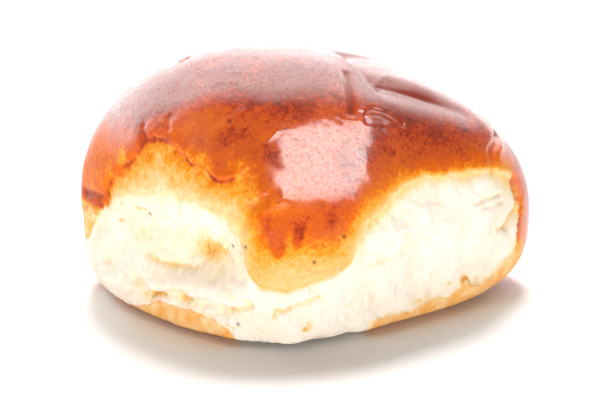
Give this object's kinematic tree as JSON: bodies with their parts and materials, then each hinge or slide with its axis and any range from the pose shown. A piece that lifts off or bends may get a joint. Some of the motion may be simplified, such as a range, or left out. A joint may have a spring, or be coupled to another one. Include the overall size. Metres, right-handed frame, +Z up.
{
  "type": "bread roll",
  "caption": "Soft white bread roll with a glossy domed crust, torn from its batch so that crumb shows on the sides",
  "frame": {"origin": "middle of the flat base on which the roll rests", "axes": "+Z up; -Y toward the crust tongue between the torn faces; +X to the right as seen from there"},
  "size_m": [0.0978, 0.0824, 0.0556],
  "materials": {
    "bread": "egg-washed red-brown crust over pale soft crumb"
  },
  "bodies": {
    "root": {"bread_roll": "bread"}
  },
  "joints": []
}
